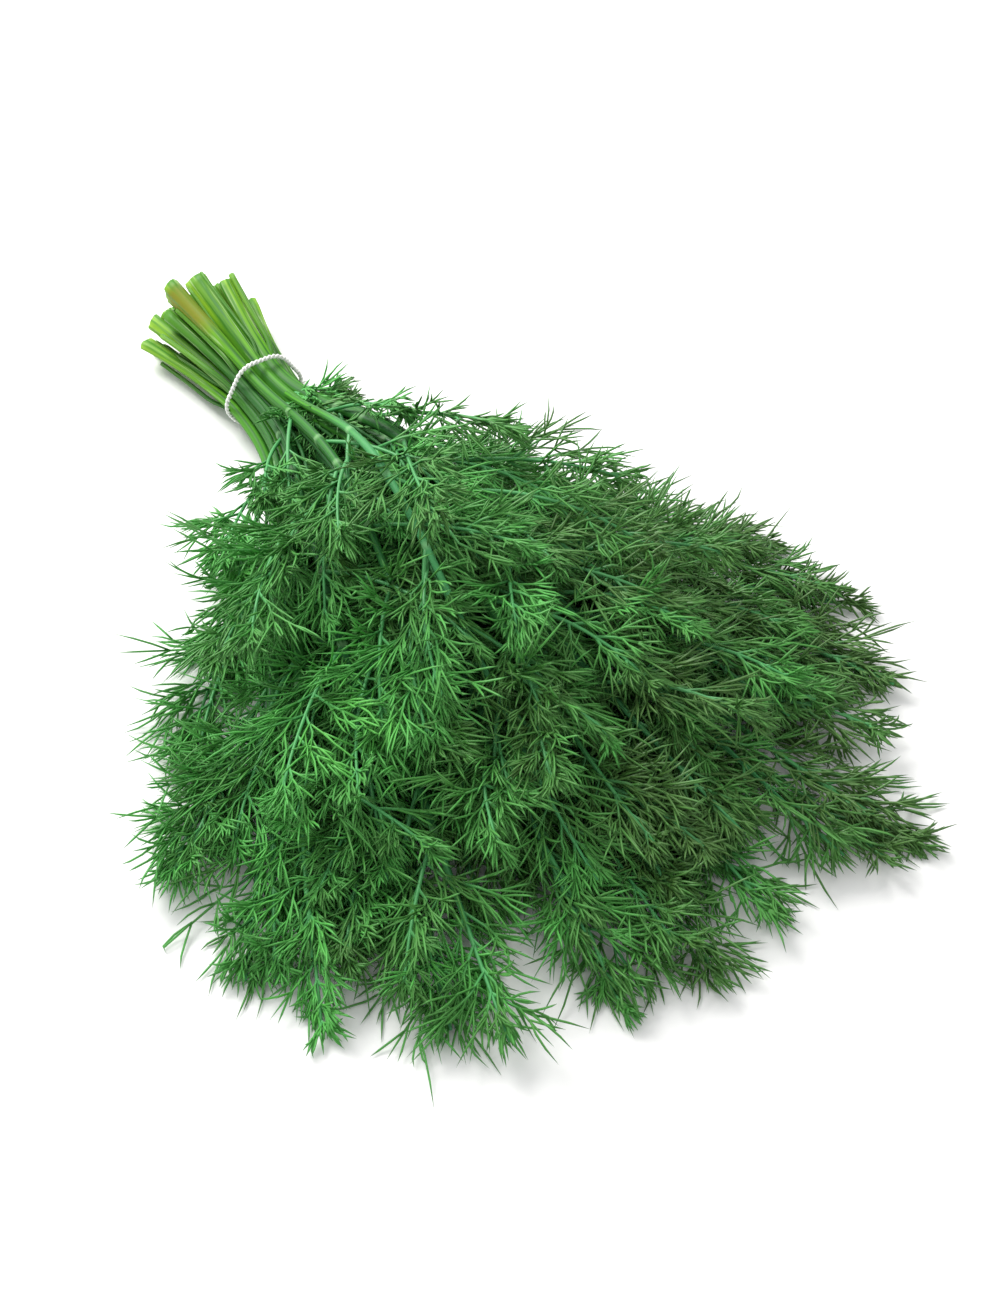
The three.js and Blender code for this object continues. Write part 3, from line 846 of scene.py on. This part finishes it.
def add_end_threads(skin, rng, pinnae):
    """Three threads that spread from the end of each pinna."""
    pinna_count = len(pinnae.length)
    ends = pinnae.picked(np.repeat(np.arange(pinna_count), len(END_THREADS)))
    count = len(ends.length)
    fullness = np.clip(ends.length / FULL_PINNA, LEAST_END_FULLNESS, 1)
    lengths = END_THREAD_LENGTH * rng.uniform(*END_THREAD_SPREAD, count) * fullness
    side, opening_deg = np.tile(END_THREADS, (pinna_count, 1)).T
    opening_deg = opening_deg + spread(rng, END_SPREAD_DEG, count)
    threads = branches(rng, ends, np.full(count, END_THREAD_AT), side, opening_deg, lengths)
    add_threads(skin, threads, THREAD_RADII, END_THREAD_ALONG)


def add_frond(skin, rng, axis, length, roll, bare=0):
    """A feathery leaf: a stalk, pinnae in pairs along it, and threads that fork along each pinna."""
    # Each frond gets a random tone of its own, plus painted shade towards the tips and the +Y side.
    tint = rng.uniform(*FROND_TINTS) + float(axis(np.array([0.5]))[0] @ PAINTED_SHADE_SLOPE)
    t = np.linspace(0, STALK_TO, STALK_RINGS)
    radii = mix(*STALK_RADII, t**STALK_TAPER)[None]
    values = {"tint": np.full((1, STALK_RINGS), tint), "along": t[None] - 1}
    add_tubes(skin, axis(t)[None], radii, STALK_SIDES, **values)
    pinnae = pinnae_of(rng, axis, length, roll, tint, bare)
    add_threads(skin, pinnae, PINNA_RADII, PINNA_ALONG)
    add_side_threads(skin, rng, pinnae)
    add_end_threads(skin, rng, pinnae)


def side_leaf(rng, stem, place, side, opening_deg, lift_deg, length):
    """A leaf that isn't in the solids, at a place along a stem."""
    base, stem_heading = on_stem(stem, place)
    opening = side * math.radians(rng.uniform(*opening_deg))
    return Leaf(
        base=base,
        heading=stem_heading + opening,
        curl=opening * rng.uniform(*LEAF_CURL),
        lift=math.radians(rng.uniform(*lift_deg)),
        droop=ROW_DROOP[stem.row] * rng.uniform(*DROOP_SPREAD),
        length=length,
        roll=math.radians(spread(rng, ROLL_SPREAD_DEG)),
    )


def sprig(rng, stem, side, at, lengths, opening_deg, lift_deg):
    place = rng.uniform(*at)
    return side_leaf(rng, stem, place, side, opening_deg, lift_deg, rng.uniform(*lengths))


def young_leaves(rng, stem, leaves):
    """A smaller leaf between each two of a stem's leaves, and a sprig near the string on upper stems."""
    young = []
    for index, ((leaf, place), (_, next_place)) in enumerate(zip(leaves, leaves[1:])):
        side = stem.side if index % 2 else -stem.side
        length = leaf.length * rng.uniform(*YOUNG_LENGTH)
        middle = (place + next_place) / 2
        young.append(side_leaf(rng, stem, middle, side, YOUNG_OPENING_DEG, YOUNG_LIFT_DEG, length))
    if stem.row == TOP_ROW:
        young = []  # its stems show, so it has none, but its draws are made all the same
    if stem.row in SPRIG_ROWS and stem.outwards >= 0:
        young.append(sprig(rng, stem, 1, SPRIG_AT, SPRIG_LENGTH, SPRIG_OPENING_DEG, SPRIG_LIFT_DEG))
    return young


def neck_sprigs(rng, stem):
    """Sprigs that lean inwards from a stem, over its neighbours, just past the string."""
    inwards = -1 if stem.outwards > 0 else 1
    return [
        sprig(rng, stem, inwards, NECK_AT, NECK_LENGTH, NECK_OPENING_DEG, NECK_LIFT_DEG)
        for _ in range(NECK_COUNTS[stem.row])
    ]


def edge_sprays(rng, stem, number):
    """The sprays of a stem that reach past the other leaves at the bunch's edge."""
    return [
        side_leaf(rng, stem, place, 1, (opening_deg, opening_deg), EDGE_LIFT_DEG, length)
        for owner, place, opening_deg, length in EDGE_SPRAYS
        if owner == number
    ]


def add_leaf(skin, rng, leaf, bare=0):
    add_frond(skin, rng, lambda t: leaf_points(leaf, t), leaf.length, leaf.roll, bare)


def add_fronds(skin, rng, stem, leaves):
    """The leaves of a stem, from the string outwards, and the spray that goes on from its tip."""
    usual = BARE_TOP if stem.row == TOP_ROW else 0
    for index, leaf in enumerate(leaves):
        add_leaf(skin, rng, leaf, usual if index else BARE_FIRST)

    def spray_axis(t):
        return stem_points(stem, mix(SPRAY_FROM, 1, np.asarray(t)))

    tip, start = spray_axis([1, 0])
    add_frond(skin, rng, spray_axis, np.linalg.norm(tip - start) * SPRAY_LEAFLET_SHARE, 0)


def near_joints(joints):
    """Places of the rings that shape the joints of a stem."""
    return [joint + JOINT_LENGTH * offset for joint in joints for offset in JOINT_OFFSETS]


def stem_places(joints):
    """Rings along a stem: closer together behind the tie, and round the joint of each leaf."""
    behind = np.linspace(-1, 0, STEM_RINGS_BEHIND)
    ahead = np.linspace(0, 1, STEM_RINGS_AHEAD)
    return np.unique(np.round(np.concatenate([behind, ahead, near_joints(joints)]), SAME_PLACE_DIGITS))


def add_stalk(skin, points, places, angles, shade, joint=0.0, cut=0.0, ochre=0.0):
    """Adds a stem's points, of shape (rings, sides, 3), with the values that its material reads."""
    shape = points.shape[:2]
    fibre = [np.cos(angles) + STREAK_SHIFT * shade, np.sin(angles), places[:, None] * FIBRE_STRETCH]
    values = {"place": places[:, None], "shade": shade, "joint": joint, "cut": cut, "ochre": ochre}
    skin.add(
        points.reshape(-1, 3),
        tube_triangles(*shape, False),
        fibre=np.stack([np.broadcast_to(part, shape) for part in fibre], axis=-1).reshape(-1, 3),
        **{field: np.broadcast_to(value, shape).ravel() for field, value in values.items()},
    )


def joints_near(places, joints):
    """1 at each joint of a stem, and less and less away from it."""
    nearest = np.abs(places[:, None] - np.array(joints)[None]).min(axis=1)
    return np.exp(-((nearest / JOINT_LENGTH) ** 2))


def stem_spokes(rng, stem, places, joint, angles):
    """From a stem's axis to its ridged surface, which swells at each leaf and thins into its spray."""
    flare = CUT_FLARE * np.exp(-(((places + 1) / CUT_FLARE_LENGTH) ** 2))
    width = mix(1, rng.uniform(*STEM_WIDTHS), ease(-2 * places))
    thinning = mix(1, TIP_SHARE, ease((places - TIP_FROM) / (1 - TIP_FROM)))
    fullness = mix(STEM_FULLNESS, 1, ease(places)) * thinning
    radii = stem_radii(stem, places) * fullness * width * (1 + flare) * (1 + JOINT_SWELL * joint)
    flat = rng.uniform(*STEM_FLATTENING) * np.cos(2 * (angles - rng.uniform(0, math.pi)))
    profile = 1 + flat + RIDGE_DEPTH * np.cos(RIDGE_COUNT * angles + rng.uniform(0, math.pi))
    spokes = spokes_between(*frames_of(stem_points(stem, places)), angles)
    return spokes * (radii[:, None] * profile)[..., None]


def add_stem(skin, rng, stem, joints, ochre):
    """A stem whose cut end is a hollow in the pith, the pith's edge, the rim, and its own first ring."""
    places = stem_places(joints)
    axis = stem_points(stem, places)
    joint = joints_near(places, joints)
    angles = around(STEM_SIDES)
    spokes = stem_spokes(rng, stem, places, joint, angles)
    slant = rng.uniform(*CUT_SLANT) * np.cos(angles - rng.uniform(0, 2 * math.pi))
    slant = slant + spread(rng, CUT_ROUGHNESS, STEM_SIDES)
    cut_rings = [axis[0] + share * spokes[:1] for share, _ in CUT_RINGS]
    points = np.concatenate([*cut_rings, axis[:, None] + spokes])
    for ring, (share, depth) in enumerate(CUT_RINGS):
        points[ring, :, 0] += depth + slant * share
    points[len(CUT_RINGS), :, 0] += slant + BEVEL
    points[..., 2] = np.maximum(points[..., 2], LOWEST_STEM)
    in_cut = (np.arange(len(points)) < len(CUT_RINGS))[:, None]
    places = np.concatenate([np.full(len(CUT_RINGS), places[0]), places])
    joint = np.concatenate([np.zeros(len(CUT_RINGS)), joint])[:, None]
    add_stalk(skin, points, places, angles, rng.uniform(0, 1), joint, in_cut, ochre)


def add_thin_stalks(skin, rng, stem):
    """Thin stalks beside a stem: they leave it on both sides of the string, which presses them to it."""
    angles = around(THIN_SIDES)
    for _ in range(THIN_STALKS):
        places = np.linspace(rng.uniform(*THIN_FROM), rng.uniform(*THIN_TO), THIN_RINGS)
        turn = rng.uniform(0, 2 * math.pi) + spread(rng, THIN_WANDER) * places
        freed = mix(THIN_SQUEEZE, 1, ease(np.abs(places) / THIN_SQUEEZE_LENGTH))
        offset = rng.uniform(*THIN_OFFSET) * freed
        axis = stem_points(stem, places)
        axis[:, 1] += offset * np.cos(turn)
        axis[:, 2] = np.maximum(axis[:, 2] + offset * np.sin(turn), THIN_LOWEST)
        radii = rng.uniform(*THIN_RADII) * mix(1, THIN_TIP_SHARE, ease(places / THIN_TO[1]))
        points = axis[:, None] + spokes_between(*frames_of(axis), angles) * radii[:, None, None]
        add_stalk(skin, points, places, angles, rng.uniform(*THIN_SHADES))


def add_branch(stem_skin, leaf_skin, rng, stem):
    """A side branch that leaves a stem near the string and lies on top, with leaves of its own."""
    turn = stem.turn + math.radians(BRANCH_TURN_DEG)
    branch = replace(stem, turn=turn, peak=stem.peak + BRANCH_RISE)
    rings = np.linspace(BRANCH_FROM, 1, BRANCH_RINGS)
    places = np.unique(np.concatenate([rings, near_joints(BRANCH_JOINTS)]))
    joint = joints_near(places, BRANCH_JOINTS)
    tapering = mix(BRANCH_WIDTH, TIP_SHARE, ease((places - TIP_FROM) / (1 - TIP_FROM)))
    radii = stem_radii(branch, places) * tapering * (1 + JOINT_SWELL * joint)
    axis = stem_points(branch, places)
    angles = around(BRANCH_SIDES)
    points = axis[:, None] + spokes_between(*frames_of(axis), angles) * radii[:, None, None]
    add_stalk(stem_skin, points, places, angles, BRANCH_SHADE, joint[:, None])
    leaves = []
    for index, place in enumerate(BRANCH_JOINTS):
        side = 1 if index % 2 else -1
        length = rng.uniform(*BRANCH_LEAF_LENGTH)
        leaves.append(side_leaf(rng, branch, place, side, BRANCH_OPENING_DEG, BRANCH_LIFT_DEG, length))
    add_fronds(leaf_skin, rng, branch, leaves)


def tie_point(stems, angle):
    """The string's axis where it faces outwards at an angle, between a tight wrap and a circle."""
    outwards = np.array([0, math.cos(angle), math.sin(angle)])
    reach = [stem.y * outwards[1] + stem.z * outwards[2] for stem in stems]
    corner = stems[int(np.argmax(np.round(reach, SAME_REACH_DIGITS)))]
    tight = np.array([0, corner.y, corner.z])
    circle = np.array([0, 0, BUNDLE_BASE + MIDDLE_RISE]) + BUNDLE_RADIUS * outwards
    return mix(tight, circle, TIE_ROUNDNESS) + TIE_OFFSET * outwards, outwards


def lengths_along(path):
    """How far along a path each of its points is."""
    return np.concatenate([[0], np.cumsum(np.linalg.norm(np.diff(path, axis=0), axis=1))])


def evenly(path, count):
    """The same path with points at even distances."""
    lengths = lengths_along(path)
    even = np.linspace(0, lengths[-1], count)
    return np.stack([np.interp(even, lengths, path[:, i]) for i in range(3)], axis=-1)


def add_string(skin, path, reference, closed):
    """A string twisted from two strands along a path. A closed path starts and ends at one point."""
    length = lengths_along(path)[-1]
    rings = int(length * STRING_RINGS_PER_MM)
    path = evenly(path, rings)
    across, up = frames_of(path, reference)
    if closed:
        across[-1], up[-1] = across[0], up[0]
        triangles = strip_triangles(rings, STRAND_SIDES) % ((rings - 1) * STRAND_SIDES)
    else:
        triangles = tube_triangles(rings, STRAND_SIDES, False)
    own_rings = rings - closed
    twists = round(length / STRING_TWIST_LENGTH)
    spin = around(STRAND_SIDES)
    spokes = spokes_between(across, up, spin)
    for start in (0, math.pi):
        turn = (2 * math.pi * twists * np.arange(rings) / (rings - 1) + start)[:, None]
        strand_path = path + STRAND_OFFSET * (across * np.cos(turn) + up * np.sin(turn))
        points = (strand_path[:, None] + STRAND_RADIUS * spokes)[:own_rings]
        points[..., 2] = np.maximum(points[..., 2], 0)
        twist = np.repeat(turn[:own_rings], STRAND_SIDES) + np.tile(spin, own_rings)
        skin.add(points.reshape(-1, 3), triangles, twist=twist)


def tie_skin(stems):
    """The string round the bundle, two crossed loops of its knot, and its two short ends."""
    skin = Skin()
    angles = np.linspace(0, 2 * math.pi, TIE_FINE_STEPS)
    ring = np.array([tie_point(stems, angle)[0] for angle in angles])
    add_string(skin, ring, ALONG, closed=True)
    centre, outwards = tie_point(stems, math.radians(KNOT_ANGLE_DEG))
    middle = centre + outwards * KNOT_OUT
    angles = np.linspace(0, 2 * math.pi, KNOT_FINE_STEPS)
    for side in (-1, 1):
        tilt = math.radians(KNOT_TILT_DEG) * side
        x = KNOT_LOOP_RADIUS * np.cos(angles)
        flat = KNOT_LOOP_RADIUS * np.sin(angles)
        loop = np.stack([x, flat * math.cos(tilt), flat * math.sin(tilt)], axis=-1)
        axis = np.array([0, -math.sin(tilt), math.cos(tilt)])
        add_string(skin, middle + loop, axis, closed=True)
    t = np.linspace(-1, 1, KNOT_FINE_STEPS)
    ends = np.stack([TAIL_REACH[0] * t, TAIL_REACH[1] * t * t, TAIL_REACH[2] * t * t], axis=-1)
    add_string(skin, middle + ends, SIDEWAYS, closed=False)
    return skin


class Nodes:
    """A material's nodes, added and linked in one call each."""

    def __init__(self, name):
        self.material = bpy.data.materials.new(name)
        self.material.use_nodes = True
        self.tree = self.material.node_tree
        self.shader = self.tree.nodes["Principled BSDF"]

    def add(self, kind, inputs, **settings):
        """A node of one kind. An input is a value, or an output of another node to link."""
        node = self.tree.nodes.new(kind)
        for name, value in settings.items():
            setattr(node, name, value)
        for key, value in inputs.items():
            self.set(node.inputs[key], value)
        return node

    def set(self, socket, value):
        if isinstance(value, bpy.types.NodeSocket):
            self.tree.links.new(value, socket)
        else:
            socket.default_value = value

    def attribute(self, name, output="Fac"):
        return self.add("ShaderNodeAttribute", {}, attribute_name=name).outputs[output]

    def noise(self, vector, pattern):
        scale, detail = pattern
        inputs = {"Vector": vector, "Scale": scale, "Detail": detail}
        return self.add("ShaderNodeTexNoise", inputs).outputs["Fac"]

    def place(self):
        return self.add("ShaderNodeTexCoord", {}).outputs["Object"]

    def span(self, value, low, high, to_low=0.0, to_high=1.0):
        """The value, moved from one range to another and kept inside it."""
        inputs = {"Value": value, "From Min": low, "From Max": high, "To Min": to_low, "To Max": to_high}
        return self.add("ShaderNodeMapRange", inputs).outputs["Result"]

    def ramp(self, factor, stops):
        node = self.add("ShaderNodeValToRGB", {"Fac": factor})
        elements = node.color_ramp.elements
        while len(elements) < len(stops):
            elements.new(0.5)
        for element, (position, colour) in zip(elements, stops):
            element.position = position
            element.color = (*colour, 1)
        return node.outputs["Color"]

    def blend(self, factor, first, second):
        node = self.add("ShaderNodeMix", {"Factor": factor}, data_type="RGBA")
        for name, value in (("A", first), ("B", second)):
            socket = next(s for s in node.inputs if s.name == name and s.type == "RGBA")
            self.set(socket, value if isinstance(value, bpy.types.NodeSocket) else (*value, 1))
        return next(s for s in node.outputs if s.type == "RGBA")

    def maths(self, operation, first, second):
        return self.add("ShaderNodeMath", {0: first, 1: second}, operation=operation).outputs[0]

    def product(self, first, *others):
        for other in others:
            first = self.maths("MULTIPLY", first, other)
        return first

    def bump(self, height, strength, distance):
        inputs = {"Height": height, "Strength": strength, "Distance": distance}
        self.set(self.shader.inputs["Normal"], self.add("ShaderNodeBump", inputs).outputs["Normal"])

    def finish(self, colour, pattern, roughness, **fixed):
        self.set(self.shader.inputs["Base Color"], colour)
        self.set(self.shader.inputs["Roughness"], self.span(pattern, *PATTERN_MIDDLE, *roughness))
        for name, value in fixed.items():
            self.shader.inputs[name.replace("_", " ")].default_value = value
        return self.material


def leaf_material():
    """Thread-like leaves: each frond and thread has its own green, and stalks are paler and bluer."""
    nodes = Nodes("dill_leaf")
    # The tint holds each frond's own tone and the painted shade laid over it.
    tint = nodes.attribute("tint")
    along = nodes.attribute("along")
    patches = nodes.noise(nodes.place(), LEAF_PATCHES)
    mixed = nodes.maths("ADD", tint, nodes.span(patches, *PATTERN_MIDDLE, *PATCH_TINT))
    green = nodes.ramp(mixed, LEAF_GREENS)
    stalk = nodes.product(nodes.span(along, *STALK_SPAN), STALK_STRENGTH)
    green = nodes.blend(stalk, green, STALK_GREEN)
    green = nodes.blend(nodes.span(along, *TIP_SPAN), green, TIP_GREEN)
    return nodes.finish(green, patches, LEAF_ROUGHNESS, Specular_IOR_Level=LEAF_SPECULAR)


def stem_layers(nodes, place, shade, streaks, fine):
    """Where a stem has bloom, glints, an ochre patch, pale joints and pith, and their colours."""
    ochre_place = (nodes.span(place, *OCHRE_INNER_END), nodes.span(place, *OCHRE_CUT_END))
    return (
        (nodes.product(nodes.span(shade, *BLOOM_SHADE), nodes.span(place, *BLOOM_PLACE)), STEM_BLOOM),
        # Painted highlight: pale glints along the fine streaks, behind the string towards the cut end.
        (nodes.product(nodes.span(fine, *GLINT_SPAN), nodes.span(place, *GLINT_PLACE)), PAINTED_GLINT),
        (nodes.product(*ochre_place, nodes.span(streaks, *OCHRE_STREAKS), nodes.attribute("ochre")), OCHRE),
        (nodes.span(nodes.attribute("joint"), *JOINT_SPAN), JOINT_PALE),
        (nodes.attribute("cut"), PITH),
    )


def stem_material():
    """Cut stems: pale where they are cut, yellow-green at the string and leaf green further on."""
    nodes = Nodes("dill_stem")
    place = nodes.attribute("place")
    fibre = nodes.attribute("fibre", "Vector")
    shade = nodes.attribute("shade")
    streaks = nodes.noise(fibre, STREAKS)
    fine = nodes.noise(fibre, FINE_STREAKS)
    whole = nodes.span(place, *WHOLE_STEM)
    green = nodes.ramp(whole, STEM_GREENS)
    darker = nodes.ramp(whole, STEM_SHADES)
    green = nodes.blend(nodes.span(streaks, *STREAK_SPAN), darker, green)
    green = nodes.blend(nodes.span(shade, *SHADE_SPAN), green, darker)
    for share, colour in stem_layers(nodes, place, shade, streaks, fine):
        green = nodes.blend(share, green, colour)
    nodes.bump(fine, *STEM_BUMP)
    return nodes.finish(green, streaks, STEM_ROUGHNESS, Specular_IOR_Level=STEM_SPECULAR)


def string_material():
    """Smooth white cotton, with fine fibres that run round each strand."""
    nodes = Nodes("white_string")
    twist = nodes.attribute("twist")
    wave = nodes.maths("SINE", nodes.product(twist, STRING_FIBRES), 0.0)
    lint = nodes.noise(nodes.place(), LINT)
    white = nodes.blend(nodes.span(lint, *LINT_SPAN), STRING_SHADE, STRING_WHITE)
    nodes.bump(nodes.maths("ADD", wave, lint), *STRING_BUMP)
    return nodes.finish(white, lint, STRING_ROUGHNESS, Sheen_Weight=STRING_SHEEN)


def floor_material():
    nodes = Nodes("pale_floor")
    grain = nodes.noise(nodes.place(), FLOOR_GRAIN)
    colour = nodes.blend(nodes.span(grain, *PATTERN_MIDDLE), FLOOR_PALE, FLOOR_PALER)
    return nodes.finish(colour, grain, FLOOR_ROUGHNESS, Specular_IOR_Level=FLOOR_SPECULAR)


def make_floor():
    mesh = bpy.data.meshes.new("floor")
    half = FLOOR_SIZE / 2
    corners = [(-half, -half, 0), (half, -half, 0), (half, half, 0), (-half, half, 0)]
    mesh.from_pydata(corners, [], [(0, 1, 2, 3)])
    mesh.materials.append(floor_material())
    floor = add_object("floor", mesh)


def add_light(name, position, size, power, colour):
    """A square soft light that faces the middle of the bunch."""
    light = bpy.data.lights.new(name, "AREA")
    light.size = size
    light.energy = power
    light.color = colour
    lamp = add_object(name, light)
    lamp.location = position
    lamp.rotation_euler = (BUNCH_MIDDLE - Vector(position)).to_track_quat("-Z", "Y").to_euler()


def light_scene():
    for light in LIGHTS:
        add_light(*light)
    world = bpy.data.worlds.new("studio")
    world.use_nodes = True
    background = world.node_tree.nodes["Background"]
    background.inputs["Color"].default_value = (*WORLD_COLOUR, 1)
    background.inputs["Strength"].default_value = WORLD_STRENGTH
    scene = bpy.context.scene
    scene.world = world
    scene.view_settings.view_transform = "Standard"


def make_camera():
    """A camera at the photo's angle, placed so that the string shows at the same pixel."""
    azimuth = math.radians(CAMERA_AZIMUTH_DEG)
    elevation = math.radians(CAMERA_ELEVATION_DEG)
    right = Vector((math.cos(azimuth), math.sin(azimuth), 0))
    back = Vector((right.y * math.cos(elevation), -right.x * math.cos(elevation), math.sin(elevation)))
    up = back.cross(right)
    focal = CAMERA_LENS / SENSOR * IMAGE_HEIGHT
    shift_right = (TIE_PIXEL[0] - IMAGE_WIDTH / 2) / focal
    shift_up = (IMAGE_HEIGHT / 2 - TIE_PIXEL[1]) / focal
    data = bpy.data.cameras.new("camera")
    data.lens = CAMERA_LENS
    data.sensor_width = SENSOR
    camera = add_object("camera", data)
    turned = Matrix((right, up, back)).transposed().to_4x4()
    place = Vector(TIE_MIDDLE) + (back - right * shift_right - up * shift_up) * CAMERA_DISTANCE
    camera.matrix_world = Matrix.Translation(place * MM) @ turned
    bpy.context.scene.camera = camera


def build_bunch():
    stems, leaves = lay_out()
    rng, neck_rng, edge_rng = map(np.random.default_rng, (FROND_SEED, NECK_SEED, EDGE_SEED))
    stem_look = stem_material()
    leaf_look = leaf_material()
    for number, (stem, own_leaves) in enumerate(zip(stems, leaves), start=1):
        stem_skin = Skin()
        leaf_skin = Skin()
        joints = [place for _, place in own_leaves]
        add_stem(stem_skin, rng, stem, joints, number in OCHRE_STEMS)
        add_thin_stalks(stem_skin, rng, stem)
        if number == BRANCHED_STEM:
            add_branch(stem_skin, leaf_skin, rng, stem)
        young = young_leaves(rng, stem, own_leaves)
        add_fronds(leaf_skin, rng, stem, [leaf for leaf, _ in own_leaves] + young)
        for leaf in neck_sprigs(neck_rng, stem):
            add_leaf(leaf_skin, neck_rng, leaf)
        for leaf in edge_sprays(edge_rng, stem, number):
            add_leaf(leaf_skin, edge_rng, leaf)
        stem_skin.make(f"stem_{number:02d}", stem_look, "dill_green", f"leafy_stem_{number:02d}")
        leaf_skin.make(f"leaves_{number:02d}", leaf_look, "dill_green")
    tie_skin(stems).make("string", string_material(), "tie_string", "tie")


make_camera()
build_bunch()
make_floor()
light_scene()
